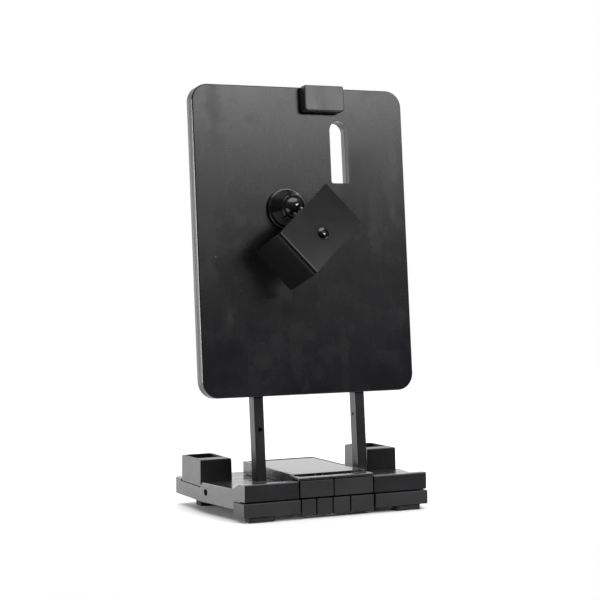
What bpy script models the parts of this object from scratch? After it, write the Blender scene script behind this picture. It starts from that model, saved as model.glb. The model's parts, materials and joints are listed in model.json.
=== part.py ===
"""Album stand: a leaning panel on two legs over a flared base with socket blocks, keys and a lidded bay.

Frame: +X right, +Y away from the user, +Z up; the origin is on the floor, under the middle of the stand.
Lengths are written in millimetres and multiplied by MM.
"""
import math

import bmesh
import bpy
from mathutils import Euler, Matrix, Vector

MM = 0.001
GAP = 0.3 * MM              # between pieces that touch
SLIDE_GAP = 0.35 * MM       # round a piece that slides in a guide
PIN_GAP = 0.15 * MM         # round a turning pin

# ---- base ----
BASE_WIDTH = 150 * MM       # at the front rails
BASE_REAR_WIDTH = 169 * MM  # at the socket blocks and the back
BASE_DEPTH = 124 * MM
FLARE_END_Y = 3 * MM        # the sides flare from the front to here
BASE_WALL = 2.2 * MM
BASE_CORNER = 4 * MM        # rear corners, seen from above
SIDE_BOTTOM_Z = 9.0 * MM
DECK_Z = 23.8 * MM          # top of the front deck
STEP_DOWN = 2.2 * MM        # the rear deck lies this much lower
STEP_Y = 0.0
STEP_LENGTH = 4.2 * MM
DECK_EDGE = 1.8 * MM        # rounding of the deck's edges
RAIL_SWEEP = 12 * MM        # the deck rises to the rail's back over this depth
BOSS_POST_R = 3.4 * MM
BOTTOM_THICK = 1.6 * MM
SIDE_HOLE_R = 2.6 * MM
SIDE_HOLE_Y = -4 * MM
SIDE_HOLE_Z = 16.8 * MM

# ---- front rails and keys ----
RAIL_DEPTH = 6.5 * MM
RAIL_EDGE = 0.7 * MM
RAIL_TOP_Z = 28.2 * MM
UPPER_RAIL_Z = 15.6 * MM
LOWER_RAIL_TOP_Z = 14.5 * MM
LOWER_RAIL_Z = 4.2 * MM
LOWER_RAIL_DEPTH = 16 * MM
LOWER_RAIL_PROUD = 0.9 * MM  # past the upper rail, at the front and at each end
UPPER_SEAMS = (-31 * MM, -3 * MM, 30 * MM)
LOWER_SEAMS = (-30 * MM, -17.4 * MM, -4 * MM, 10.5 * MM, 30.5 * MM)
SEAM = 0.7 * MM             # open line between neighbouring keys
KEY_THICK = 3.2 * MM
LOWER_KEY_Z = 2.3 * MM
KEY_TRAVEL = 1.2 * MM
STEM_R = 1.5 * MM
STEM_HEAD_R = 2.3 * MM
STEM_GAP = 0.35 * MM
KEY_FRAME_THICK = 2.0 * MM
KEY_WIRE_R = 0.25 * MM
KEY_BAY_BACK = -49 * MM     # the space behind the keys ends here

# ---- lidded bay ----
BAY_LEFT = -31.8 * MM
BAY_RIGHT = 30.0 * MM
BAY_BACK = 47 * MM
BAY_TOP_Z = 31.9 * MM
BAY_STRIP_Z = 30.6 * MM     # top of the strip in front of the lid
BAY_RIM_Z = 28.8 * MM       # underside of that strip, over the keys
BAY_FLOOR_Z = 13.8 * MM     # underside of the tub
TUB_WALL = 2.0 * MM
LID_THICK = 1.6 * MM
LID_SINK = 0.3 * MM         # the lid's top below the bay's rim
LID_LEDGE = 2.6 * MM
LID_LEFT = -28.2 * MM
LID_RIGHT = 28.4 * MM
LID_FRONT = -46.5 * MM
LID_BACK = 42 * MM
RECESS_DEPTH = 0.6 * MM
NOTCH_DEPTH = 2.4 * MM
RECESS_LEFT = -28.2 * MM
RECESS_RIGHT = 17 * MM
NOTCH_LEFT = -20 * MM
NOTCH_RIGHT = 3 * MM
RIM_WIDTH = 6 * MM
HINGE_Y = 40.5 * MM
HINGE_DROP = 2.6 * MM       # hinge axis below the lid's underside
LID_SWING = 2.6 * MM        # room behind the lid for its swing
KNUCKLE_R = 2.2 * MM
KNUCKLE_LENGTH = 11 * MM
KNUCKLE_X = 14 * MM
HINGE_PIN_R = 1.0 * MM
RECESS_PIN_R = 0.9 * MM
RECESS_PIN_X = (-12.5 * MM, -6.5 * MM)

# ---- socket blocks ----
BLOCK_WIDTH = 26.4 * MM
BLOCK_DEPTH = 42 * MM
BLOCK_HEIGHT = 18.8 * MM
BLOCK_DRAFT = 0.25 * MM      # each side, from bottom to top
BLOCK_INSET = 0.15 * MM      # from the base's side
BLOCK_EDGE = 1.1 * MM
SKIRT_DROP = 1.9 * MM       # a block's outer side reaches this far below the rear deck
SKIRT_WIDTH = 2.0 * MM
SOCKET_WALL = 2.3 * MM
SOCKET_LENGTH = 27 * MM
SOCKET_FLOOR = 2.4 * MM

# ---- feet and base screws ----
FRONT_FOOT = (21 * MM, 11 * MM)
REAR_FOOT = (22 * MM, 13 * MM)
FOOT_X = 60.5 * MM
FRONT_FOOT_Y = -54.5 * MM
REAR_FOOT_Y = 44 * MM
BASE_SCREW_R = 1.3 * MM
BASE_SCREW_HEAD_R = 2.6 * MM
BASE_SCREW_SPOTS = ((66 * MM, -32 * MM), (55 * MM, 54 * MM))

# ---- legs ----
LEAN = 4.0                  # degrees, legs and panel, tops away from the user
LEG_X = 43 * MM
LEG_WIDTH = 8.2 * MM
LEG_DEPTH = 10.5 * MM
LEG_FRONT = 3.6 * MM        # behind the panel's front face
LEG_DOWN = 74.2 * MM        # below the panel's bottom edge, along the lean
LEG_UP = 66 * MM            # above it, inside the panel's guides
LEG_EDGE = 0.9 * MM
DETENT_R = 1.7 * MM
DETENT_DEPTH = 3 * MM
SLEEVE_PROUD = 0.4 * MM     # above the deck
SLEEVE_WALL = 1.7 * MM
SLEEVE_BOTTOM_Z = 11.2 * MM
LEG_SCREW_R = 1.5 * MM
LEG_SCREW_HEAD_R = 2.7 * MM

# ---- panel ----
PANEL_Y = -17.1 * MM        # front face at the bottom edge
PANEL_Z = 88.2 * MM           # bottom edge
PANEL_WIDTH = 178.5 * MM
PANEL_HEIGHT = 238.5 * MM
PANEL_THICK = 12 * MM
PANEL_CORNER = 13 * MM
PANEL_SPLIT = 5.4 * MM      # depth of the seam between the shells
PANEL_SEAM = 0.5 * MM
SHELL_WALL = 2.2 * MM
SHELL_EDGE = 1.2 * MM
SLOT_X = 32.7 * MM
SLOT_WIDTH = 15.6 * MM
SLOT_BOTTOM = 163.8 * MM
SLOT_TOP = 212.8 * MM
SLOT_WALL = 2.0 * MM
PANEL_SCREW_INSET = 11 * MM
PANEL_DROP = 45 * MM        # how far the panel slides down its legs
GUIDE_HEIGHT = 120 * MM
GUIDE_WALL = 1.7 * MM
GUIDE_FLANGE = 5 * MM
GUIDE_FLANGE_THICK = 1.4 * MM
DETENT_HEIGHT = 20 * MM     # detent line above the panel's bottom edge
KNOB_R = 6 * MM
KNOB_LENGTH = 8 * MM
KNOB_SHANK_R = 2 * MM

# ---- top clip ----
CLIP_X = 18 * MM
CLIP_WIDTH = 34.3 * MM
CLIP_BOTTOM = 218.8 * MM
CLIP_TOP = 239.3 * MM
CLIP_PROUD = 8 * MM
CLIP_EDGE = 1.4 * MM
CLIP_TRAVEL = 10 * MM
NECK_WIDTH = 12 * MM
NECK_X = 13 * MM
NECK_HEIGHT = 6 * MM
TONGUE_THICK = 2.6 * MM
TONGUE_BOTTOM = 196 * MM
CLIP_SPRING_R = 2.1 * MM
CLIP_WIRE_R = 0.35 * MM
PEG_HEIGHT = 160 * MM

# ---- ball mount and bracket ----
BALL = Vector((-15.2 * MM, -12 * MM, 143.4 * MM))   # ball centre, on the panel
BALL_R = 8.3 * MM
BALL_GAP = 0.25 * MM
CUP_R = 12.2 * MM
CUP_SKIRT_R = 13.9 * MM
CUP_MOUTH_R = 9.6 * MM
CUP_MOUTH = 2.6 * MM        # mouth in front of the ball's centre
FLANGE_R = 16 * MM
FLANGE_THICK = 3.0 * MM
PETALS = 6
PETAL_SLIT = 1.1 * MM
PETAL_DEPTH = 1.8 * MM      # the slits end this far behind the ball's centre
BRACKET_TURN = (-24.0, 48.0, -9.5)                    # degrees about X, Y, Z
BRACKET_CENTRE = Vector((-2.9 * MM, -35.4 * MM, 125 * MM))
BRACKET_LONG = 67.3 * MM
BRACKET_SHORT = 40.5 * MM
BRACKET_FLANGE = 36.5 * MM
SHEET = 1.6 * MM
BEND_R = 1.6 * MM
BRACKET_SCREW_X = 4 * MM
BRACKET_SCREW_Z = -2 * MM
BRACKET_SCREW_R = 1.9 * MM
BRACKET_HEAD_R = 4.6 * MM
BRACKET_HEAD = 2.5 * MM
BOSS_R = 5.2 * MM
BOSS_LENGTH = 10 * MM
NECK_R = 3.1 * MM
NECK_AIM = Vector((0.55, -0.81, -0.2))
NECK_REACH = 16 * MM

RAIL_FRONT_Y = -BASE_DEPTH / 2 + LOWER_RAIL_PROUD
RAIL_BACK_Y = RAIL_FRONT_Y + RAIL_DEPTH
REAR_DECK_Z = DECK_Z - STEP_DOWN
KEY_FRAME_Y = RAIL_BACK_Y


# ---------------------------------------------------------------- scene and materials
for old in list(bpy.data.objects):
    bpy.data.objects.remove(old, do_unlink=True)

parts = bpy.data.collections.new("album_stand")
cutters = bpy.data.collections.new("album_stand_cutters")
bpy.context.scene.collection.children.link(parts)
bpy.context.scene.collection.children.link(cutters)


def material(name, colour, roughness, metallic=0.0):
    made = bpy.data.materials.new(name)
    made.use_nodes = True
    shader = made.node_tree.nodes["Principled BSDF"]
    shader.inputs["Base Color"].default_value = (*colour, 1.0)
    shader.inputs["Roughness"].default_value = roughness
    shader.inputs["Metallic"].default_value = metallic
    return made


FINISH = {
    "panel": material("panel_black", (0.022, 0.022, 0.024), 0.42),
    "base": material("base_black", (0.018, 0.018, 0.019), 0.45),
    "key": material("key_black", (0.02, 0.02, 0.021), 0.4),
    "gloss": material("socket_gloss", (0.01, 0.01, 0.011), 0.15),
    "sheet": material("sheet_black", (0.016, 0.016, 0.017), 0.38, 0.4),
    "lid": material("lid_gloss", (0.012, 0.012, 0.013), 0.12),
    "steel": material("steel", (0.5, 0.5, 0.51), 0.3, 1.0),
    "dark_steel": material("dark_steel", (0.06, 0.06, 0.065), 0.32, 1.0),
    "rubber": material("rubber", (0.012, 0.012, 0.012), 0.85),
}


# ---------------------------------------------------------------- modelling helpers
def new_object(name, mesh, finish, parent=None):
    """Link a mesh as a part, or as a cutter when finish is None."""
    made = bpy.data.objects.new(name, mesh)
    if finish is None:
        cutters.objects.link(made)
        made.hide_render = True
        made.display_type = "WIRE"
    else:
        parts.objects.link(made)
        made.data.materials.append(FINISH[finish])
    made.parent = parent
    return made


def mesh_from(bm, name):
    bmesh.ops.recalc_face_normals(bm, faces=bm.faces)
    mesh = bpy.data.meshes.new(name)
    bm.to_mesh(mesh)
    bm.free()
    return mesh


def box(name, low, high, finish=None, parent=None, top_inset=0.0, edge=0.0):
    """A block between two corners; its top may be drawn in, and its edges rounded."""
    low, high = Vector(low), Vector(high)
    size = high - low
    bm = bmesh.new()
    bmesh.ops.create_cube(bm, size=1.0)
    for vert in bm.verts:
        inset = top_inset if vert.co.z > 0 else 0.0
        vert.co.x *= size.x - 2 * inset
        vert.co.y *= size.y - 2 * inset
        vert.co.z *= size.z
        vert.co += (low + high) / 2
    made = new_object(name, mesh_from(bm, name), finish, parent)
    if edge:
        round_edges(made, edge)
    return made


def round_edges(made, width, segments=2, where=None):
    """Round the sharp edges, or only those whose two ends both pass a test."""
    bevel = made.modifiers.new("Edges", "BEVEL")
    bevel.width = width
    bevel.segments = segments
    bevel.limit_method = "ANGLE" if where is None else "WEIGHT"
    bevel.angle_limit = math.radians(40)
    if where is not None:
        mesh = made.data
        weights = mesh.attributes.new("bevel_weight_edge", "FLOAT", "EDGE")
        for edge in mesh.edges:
            weights.data[edge.index].value = float(all(where(mesh.vertices[i].co) for i in edge.vertices))


def near(value, target):
    return abs(value - target) < 0.01 * MM


def prism(name, outline, axis, low, high, finish=None, parent=None):
    """A flat outline extruded along an axis: outlines are (x, y) for Z, (x, z) for Y and (y, z) for X."""
    curve = bpy.data.curves.new(name, "CURVE")
    curve.dimensions = "2D"
    curve.fill_mode = "BOTH"
    curve.extrude = (high - low) / 2
    spline = curve.splines.new("POLY")
    spline.points.add(len(outline) - 1)
    for point, (u, v) in zip(spline.points, outline):
        point.co = (u, v, 0, 1)
    spline.use_cyclic_u = True
    frames = {
        "Z": Matrix(((1, 0, 0), (0, 1, 0), (0, 0, 1))),
        "Y": Matrix(((1, 0, 0), (0, 0, -1), (0, 1, 0))),
        "X": Matrix(((0, 0, 1), (1, 0, 0), (0, 1, 0))),
    }
    middle = Vector((0, 0, 0))
    middle["XYZ".index(axis)] = (low + high) / 2
    mesh = meshed(curve, Matrix.Translation(middle) @ frames[axis].to_4x4(), whole_caps=True)
    return new_object(name, mesh, finish, parent)


def meshed(curve, matrix, whole_caps=False):
    """Turn a curve into a closed mesh, moved by a matrix; whole_caps leaves one face on each flat end."""
    holder = bpy.data.objects.new("holder", curve)
    bpy.context.scene.collection.objects.link(holder)
    bpy.context.view_layer.update()
    mesh = bpy.data.meshes.new_from_object(holder.evaluated_get(bpy.context.evaluated_depsgraph_get()))
    bpy.data.objects.remove(holder, do_unlink=True)
    bm = bmesh.new()
    bm.from_mesh(mesh)
    bmesh.ops.remove_doubles(bm, verts=bm.verts, dist=0.00001)
    if whole_caps:
        bmesh.ops.dissolve_limit(bm, angle_limit=math.radians(1), verts=[], edges=bm.edges)
    bmesh.ops.transform(bm, matrix=matrix, verts=bm.verts)
    bpy.data.meshes.remove(mesh)
    return mesh_from(bm, "curve_mesh")


def rod(name, radius, start, end, finish=None, parent=None, sides=24, end_radius=None):
    """A round bar, or a cone when the end has its own radius."""
    start, end = Vector(start), Vector(end)
    reach = end - start
    bm = bmesh.new()
    bmesh.ops.create_cone(
        bm, cap_ends=True, segments=sides, depth=reach.length,
        radius1=radius, radius2=radius if end_radius is None else end_radius,
        matrix=Matrix.Translation((start + end) / 2) @ reach.to_track_quat("Z", "Y").to_matrix().to_4x4())
    made = new_object(name, mesh_from(bm, name), finish, parent)
    made.data.shade_smooth()
    made.data.set_sharp_from_angle(angle=math.radians(35))
    return made


def turned(name, profile, place, finish=None, parent=None, steps=36):
    """A closed profile of (radius, height) points, top to bottom on its outer side, turned about Z."""
    mesh = bpy.data.meshes.new(name)
    on_axis = profile[0][0] == 0
    edges = [(i, i + 1) for i in range(len(profile) - 1)]
    if not on_axis:
        edges.append((len(profile) - 1, 0))
    mesh.from_pydata([(r, 0, h) for r, h in profile], edges, [])
    made = new_object(name, mesh, finish, parent)
    made.matrix_local = place
    screw = made.modifiers.new("Turn", "SCREW")
    screw.steps = steps
    screw.render_steps = steps
    screw.use_merge_vertices = True
    screw.merge_threshold = 0.00001
    screw.use_normal_calculate = True
    screw.use_smooth_shade = False
    return made


def tube(name, points, radius, finish=None, parent=None, sides_level=1):
    """A round wire along points."""
    curve = bpy.data.curves.new(name, "CURVE")
    curve.dimensions = "3D"
    curve.bevel_depth = radius
    curve.bevel_resolution = sides_level
    curve.use_fill_caps = True
    spline = curve.splines.new("POLY")
    spline.points.add(len(points) - 1)
    for point, place in zip(spline.points, points):
        point.co = (*place, 1)
    return new_object(name, meshed(curve, Matrix.Identity(4)), finish, parent)


def combine(target, tool, operation="DIFFERENCE"):
    step = target.modifiers.new(operation.title() + " " + tool.name, "BOOLEAN")
    step.operation = operation
    step.solver = "EXACT"
    step.object = tool
    return target


def cut(target, *tools):
    for tool in tools:
        combine(target, tool)
    return target


def join(target, *tools):
    for tool in tools:
        combine(target, tool, "UNION")
    return target


def rounded_rectangle(left, right, bottom, top, radii, steps=6):
    """Corner radii run from bottom left, anticlockwise."""
    corners = ((left, bottom, 180), (right, bottom, 270), (right, top, 0), (left, top, 90))
    inward = ((1, 1), (-1, 1), (-1, -1), (1, -1))
    points = []
    for (x, y, start), (ix, iy), radius in zip(corners, inward, radii):
        centre = (x + ix * radius, y + iy * radius)
        count = steps if radius > 0 else 0
        for i in range(count + 1):
            angle = math.radians(start + (90 * i / count if count else 45))
            points.append((centre[0] + radius * math.cos(angle), centre[1] + radius * math.sin(angle)))
    return points


def coil(start, axis, radius, length, turns, per_turn=10):
    """Points of a helix that starts at a point and runs along an axis."""
    frame = Vector(axis).to_track_quat("Z", "Y").to_matrix()
    count = int(turns * per_turn)
    points = []
    for i in range(count + 1):
        angle = 2 * math.pi * i / per_turn
        local = Vector((radius * math.cos(angle), radius * math.sin(angle), length * i / count))
        points.append(Vector(start) + frame @ local)
    return points


def bezier(p0, p1, p2, p3, count):
    points = []
    for i in range(count + 1):
        t = i / count
        s = 1 - t
        points.append(p0 * s ** 3 + p1 * 3 * s * s * t + p2 * 3 * s * t * t + p3 * t ** 3)
    return points


# ---------------------------------------------------------------- base
def half_width(y, inset=0.0):
    """The base's half width at a depth: it flares, then keeps its width."""
    share = min(1.0, (y + BASE_DEPTH / 2) / (FLARE_END_Y + BASE_DEPTH / 2))
    return (BASE_WIDTH + (BASE_REAR_WIDTH - BASE_WIDTH) * share) / 2 - inset


def base_outline(front_y, inset):
    """The base's plan, from a front line to the back, drawn in by an inset."""
    back = BASE_DEPTH / 2 - inset
    side = half_width(back, inset)
    right = [(half_width(front_y, inset), front_y), (half_width(FLARE_END_Y, inset), FLARE_END_Y)]
    for i in range(5):
        angle = math.radians(90 * i / 4)
        right.append((side - BASE_CORNER * (1 - math.cos(angle)), back - BASE_CORNER * (1 - math.sin(angle))))
    return right + [(-x, y) for x, y in reversed(right)]


def deck_profile():
    """What is cut from above the base: the rail's swept back, the front deck, an S step and the rear deck."""
    profile = [(-BASE_DEPTH, RAIL_TOP_Z)]
    for start, reach, high, drop in ((RAIL_BACK_Y, RAIL_SWEEP, RAIL_TOP_Z, RAIL_TOP_Z - DECK_Z),
                                     (STEP_Y, STEP_LENGTH, DECK_Z, STEP_DOWN)):
        for i in range(5):
            share = i / 4
            profile.append((start + reach * share, high - drop * (1 - math.cos(math.pi * share)) / 2))
    return profile + [(BASE_DEPTH, REAR_DECK_Z), (BASE_DEPTH, BASE_DEPTH), (-BASE_DEPTH, BASE_DEPTH)]


def leg_centre_y(z):
    """Y of a leg's middle at a height."""
    lean = math.radians(LEAN)
    middle = LEG_FRONT + LEG_DEPTH / 2
    return PANEL_Y + middle / math.cos(lean) + (z - PANEL_Z) * math.tan(lean)


def make_base_cover():
    spare = 3 * DECK_EDGE       # cut away again, so that the front and the bottom stay sharp
    wide = BASE_REAR_WIDTH
    low, high = -BASE_DEPTH, BASE_DEPTH
    cover = prism("base_cover", base_outline(RAIL_FRONT_Y - spare, 0), "Z", SIDE_BOTTOM_Z - spare,
                  RAIL_TOP_Z + spare,
                  "base")
    cut(cover, prism("cut_deck", deck_profile(), "X", -wide, wide))
    round_edges(cover, DECK_EDGE)
    edge_profile = [(RAIL_FRONT_Y - RAIL_EDGE, RAIL_TOP_Z - 2 * RAIL_EDGE),
                    (RAIL_FRONT_Y + 2 * RAIL_EDGE, RAIL_TOP_Z + RAIL_EDGE),
                    (RAIL_FRONT_Y - RAIL_EDGE, RAIL_TOP_Z + RAIL_EDGE)]
    cut(cover,
        box("cut_front", (-wide, low, low), (wide, RAIL_FRONT_Y, high)),
        box("cut_bottom", (-wide, low, low), (wide, high, SIDE_BOTTOM_Z)),
        prism("cut_rail_edge", edge_profile, "X", -wide, wide),
        box("cut_under_rail", (-wide, low, 0), (wide, RAIL_BACK_Y, UPPER_RAIL_Z)))
    ceiling = REAR_DECK_Z - BASE_WALL
    cut(cover, prism("cut_base_hollow", base_outline(RAIL_BACK_Y + BASE_WALL, BASE_WALL), "Z",
                     SIDE_BOTTOM_Z - 5 * MM, ceiling))
    for number, (x, y) in enumerate(base_screw_places()):
        join(cover, rod(f"cut_boss_{number}", BOSS_POST_R, (x, y, bottom_plate_top() + GAP),
                        (x, y, ceiling + BASE_WALL / 2), sides=16))
        cut(cover, rod(f"cut_boss_hole_{number}", BASE_SCREW_R + GAP, (x, y, 0), (x, y, ceiling - 0.5 * MM),
                       sides=12))
    cut(cover,
        box("cut_lower_rail", (-wide, low, 0), (wide, lower_rail_back() + GAP, LOWER_RAIL_TOP_Z + GAP)),
        box("cut_key_bay", (UPPER_SEAMS[0] - SEAM, low, 0), (UPPER_SEAMS[-1] + SEAM, KEY_BAY_BACK, high)),
        box("cut_rail_bay", (BAY_LEFT - GAP, low, DECK_Z), (BAY_RIGHT + GAP, high, high)),
        box("cut_tub", (*tub_low(GAP), 0), (*tub_high(GAP), high)),
        rod("cut_side_holes", SIDE_HOLE_R, (-wide, SIDE_HOLE_Y, SIDE_HOLE_Z),
            (wide, SIDE_HOLE_Y, SIDE_HOLE_Z)))
    for side in (-1, 1):
        sleeve_low, sleeve_high = sleeve_corners(side, GAP)
        left, right, front, back = block_sides(side)
        lip_left, lip_right = sorted((side * (max(abs(left), abs(right)) - SKIRT_WIDTH - GAP), side * wide))
        cut(cover,
            box(f"cut_sleeve_{side}", (*sleeve_low, 0), (*sleeve_high, high)),
            box(f"cut_skirt_{side}", (lip_left, front - GAP, REAR_DECK_Z - SKIRT_DROP),
                (lip_right, back + GAP, high)))
    return cover


def bottom_plate_top():
    return SIDE_BOTTOM_Z + GAP + BOTTOM_THICK


def base_screw_places():
    return [(side * x, y) for x, y in BASE_SCREW_SPOTS for side in (-1, 1)]


def lower_rail_back():
    return -BASE_DEPTH / 2 + LOWER_RAIL_DEPTH


def tub_low(extra=0.0):
    return (LID_LEFT + LID_LEDGE - TUB_WALL - extra, LID_FRONT + LID_LEDGE - TUB_WALL - extra)


def tub_high(extra=0.0):
    return (LID_RIGHT - LID_LEDGE + TUB_WALL + extra, HINGE_Y - 6 * MM + TUB_WALL + extra)


def make_bottom_plate():
    inset = BASE_WALL + GAP
    low = SIDE_BOTTOM_Z + GAP
    front = lower_rail_back() + GAP
    plate = prism("bottom_plate", base_outline(front, inset), "Z", low, low + BOTTOM_THICK, "base")
    for number, (x, y) in enumerate(base_screw_places()):
        cut(plate, rod(f"cut_plate_hole_{number}", BASE_SCREW_R + GAP, (x, y, 0), (x, y, DECK_Z), sides=12))
    for side in (-1, 1):
        y = leg_centre_y(SLEEVE_BOTTOM_Z)
        cut(plate, rod(f"cut_leg_screw_way_{side}", LEG_SCREW_HEAD_R + GAP, (side * LEG_X, y, 0),
                       (side * LEG_X, y, DECK_Z), sides=16))
    return plate


def make_base_screws():
    for number, (x, y) in enumerate(base_screw_places()):
        head_top = SIDE_BOTTOM_Z
        screw = rod(f"base_screw_{number + 1}", BASE_SCREW_HEAD_R, (x, y, head_top - 1.5 * MM),
                    (x, y, head_top),
                    "steel", sides=16)
        join(screw, rod(f"cut_shank_{number}", BASE_SCREW_R, (x, y, head_top - 0.5 * MM),
                        (x, y, head_top + 9 * MM), sides=12))


def make_feet():
    for side, word in ((-1, "left"), (1, "right")):
        x = side * FOOT_X
        for row, (width, depth), y, top in (("front", FRONT_FOOT, FRONT_FOOT_Y, LOWER_RAIL_Z - GAP),
                                            ("rear", REAR_FOOT, REAR_FOOT_Y, SIDE_BOTTOM_Z)):
            foot = prism(f"{row}_foot_{word}",
                         rounded_rectangle(x - width / 2, x + width / 2, y - depth / 2, y + depth / 2,
                                           (2.5 * MM,) * 4, 3),
                         "Z", 0, top, "rubber")
            foot.data.shade_smooth()
            foot.data.set_sharp_from_angle(angle=math.radians(35))


# ---------------------------------------------------------------- rails and keys
def make_lower_rails():
    front, back = -BASE_DEPTH / 2, lower_rail_back()
    for side, word, seam in ((-1, "left", LOWER_SEAMS[0] - SEAM), (1, "right", LOWER_SEAMS[-1] + SEAM)):
        plan = [(seam, front), (side * half_width(front, -LOWER_RAIL_PROUD), front),
                (side * half_width(back, -LOWER_RAIL_PROUD), back), (seam, back)]
        rail = prism(f"lower_rail_{word}", plan, "Z", LOWER_RAIL_Z, LOWER_RAIL_TOP_Z, "base")
        round_edges(rail, RAIL_EDGE)


def key_list():
    """Every key: its name, its sides in X and its bottom and top."""
    keys = []
    for row, seams, bottom, top in (("upper", UPPER_SEAMS, UPPER_RAIL_Z, BAY_RIM_Z - 2 * GAP),
                                    ("lower", LOWER_SEAMS, LOWER_KEY_Z, LOWER_RAIL_TOP_Z)):
        for number in range(len(seams) - 1):
            keys.append((f"{row}_key_{number + 1}", seams[number] + SEAM / 2, seams[number + 1] - SEAM / 2,
                         bottom, top))
    return keys


def make_keys():
    frame_back = KEY_FRAME_Y + KEY_FRAME_THICK
    for name, left, right, bottom, top in key_list():
        x, z = (left + right) / 2, (bottom + top) / 2
        back = RAIL_FRONT_Y + KEY_THICK
        key = box(name, (left, RAIL_FRONT_Y, bottom), (right, back, top), "key", edge=0.6 * MM)
        stem_end = frame_back + GAP
        join(key, rod(f"cut_{name}_stem", STEM_R, (x, back - 1 * MM, z), (x, stem_end + 0.2 * MM, z),
                      sides=12),
             rod(f"cut_{name}_head", STEM_HEAD_R, (x, stem_end, z), (x, stem_end + 1.2 * MM, z), sides=12))
        spring_length = KEY_FRAME_Y - back - KEY_TRAVEL - 2 * GAP - 2 * KEY_WIRE_R
        start = (x, KEY_FRAME_Y - GAP - KEY_WIRE_R - spring_length, z)
        tube(f"{name}_spring", coil(start, (0, 1, 0), STEM_R + GAP + 2 * KEY_WIRE_R, spring_length, 1.8,
                                    per_turn=9),
             KEY_WIRE_R, "steel", sides_level=0)


def make_key_frame():
    left, right = LOWER_SEAMS[0] + GAP, UPPER_SEAMS[-1] - GAP
    frame = box("key_frame", (left, KEY_FRAME_Y, LOWER_KEY_Z + 0.6 * MM),
                (right, KEY_FRAME_Y + KEY_FRAME_THICK, BAY_RIM_Z - GAP), "base")
    for name, key_left, key_right, bottom, top in key_list():
        x, z = (key_left + key_right) / 2, (bottom + top) / 2
        cut(frame, rod(f"cut_{name}_way", STEM_R + STEM_GAP, (x, -BASE_DEPTH, z), (x, 0, z), sides=12))
    return frame


# ---------------------------------------------------------------- lidded bay
def lid_top_z():
    return BAY_TOP_Z - LID_SINK


def hinge_z():
    return lid_top_z() - LID_THICK - HINGE_DROP


def knuckle_spans(extra=0.0):
    return [(side * KNUCKLE_X - KNUCKLE_LENGTH / 2 - extra, side * KNUCKLE_X + KNUCKLE_LENGTH / 2 + extra)
            for side in (-1, 1)]


def make_bay():
    low, rim_front = REAR_DECK_Z + GAP, LID_FRONT + 0.5 * MM
    side_view = [(RAIL_FRONT_Y, low), (BAY_BACK, low), (BAY_BACK, BAY_TOP_Z), (rim_front, BAY_TOP_Z),
                 (rim_front, BAY_STRIP_Z), (RAIL_FRONT_Y, BAY_STRIP_Z)]
    bay = prism("bay_housing", side_view, "X", BAY_LEFT, BAY_RIGHT, "base")
    round_edges(bay, 0.8 * MM)
    seat_z = lid_top_z() - LID_THICK - GAP
    inside_low = (LID_LEFT + LID_LEDGE, LID_FRONT + LID_LEDGE)
    inside_high = (LID_RIGHT - LID_LEDGE, HINGE_Y - 6 * MM)
    recess_front = RAIL_FRONT_Y + RIM_WIDTH
    cut(bay, box("cut_front_deck_way", (BAY_LEFT - 5 * MM, -BASE_DEPTH, 0),
                 (BAY_RIGHT + 5 * MM, STEP_Y + STEP_LENGTH, DECK_Z + GAP)))
    join(bay, box("cut_tub_outside", (*tub_low(), BAY_FLOOR_Z), (*tub_high(), DECK_Z + 2 * MM)))
    cut(bay,
        box("cut_keys_under_rim", (BAY_LEFT - 5 * MM, -BASE_DEPTH, 0),
            (BAY_RIGHT + 5 * MM, KEY_BAY_BACK, BAY_RIM_Z)),
        box("cut_lid_seat", (LID_LEFT - GAP, LID_FRONT - GAP, seat_z),
            (LID_RIGHT + GAP, LID_BACK + LID_SWING, BAY_TOP_Z + 5 * MM)),
        box("cut_lid_swing", (LID_LEFT - GAP, HINGE_Y + HINGE_PIN_R, hinge_z() + HINGE_PIN_R * 0.8),
            (LID_RIGHT + GAP, LID_BACK + LID_SWING, BAY_TOP_Z)),
        box("cut_tub_inside", (*inside_low, BAY_FLOOR_Z + TUB_WALL), (*inside_high, BAY_TOP_Z + 5 * MM)),
        box("cut_recess", (RECESS_LEFT, recess_front, BAY_STRIP_Z - RECESS_DEPTH),
            (RECESS_RIGHT, LID_FRONT, BAY_TOP_Z + 5 * MM)),
        box("cut_notch", (NOTCH_LEFT, recess_front + 1.5 * MM, BAY_STRIP_Z - NOTCH_DEPTH),
            (NOTCH_RIGHT, LID_FRONT + 1.2 * MM, BAY_TOP_Z + 5 * MM)))
    for number, (left, right) in enumerate(knuckle_spans(GAP)):
        cut(bay, box(f"cut_knuckle_{number}",
                     (left, HINGE_Y - KNUCKLE_R - 1 * MM, hinge_z() - KNUCKLE_R - 0.5 * MM),
                     (right, LID_BACK + LID_SWING, BAY_TOP_Z)))
    cut(bay, rod("cut_hinge_way", HINGE_PIN_R + PIN_GAP, (LID_LEFT - 2.2 * MM, HINGE_Y, hinge_z()),
                 (LID_RIGHT + 0.8 * MM, HINGE_Y, hinge_z()), sides=16))
    for number, x in enumerate(RECESS_PIN_X):
        y = LID_FRONT - 1.6 * MM
        floor = BAY_STRIP_Z - NOTCH_DEPTH
        rod(f"recess_pin_{number + 1}", RECESS_PIN_R, (x, y, floor - 1.2 * MM), (x, y, BAY_STRIP_Z), "steel",
            sides=14)
        cut(bay, rod(f"cut_recess_pin_{number}", RECESS_PIN_R + PIN_GAP, (x, y, floor - 1.5 * MM),
                     (x, y, floor + 2 * MM), sides=14))
    return bay


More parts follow.
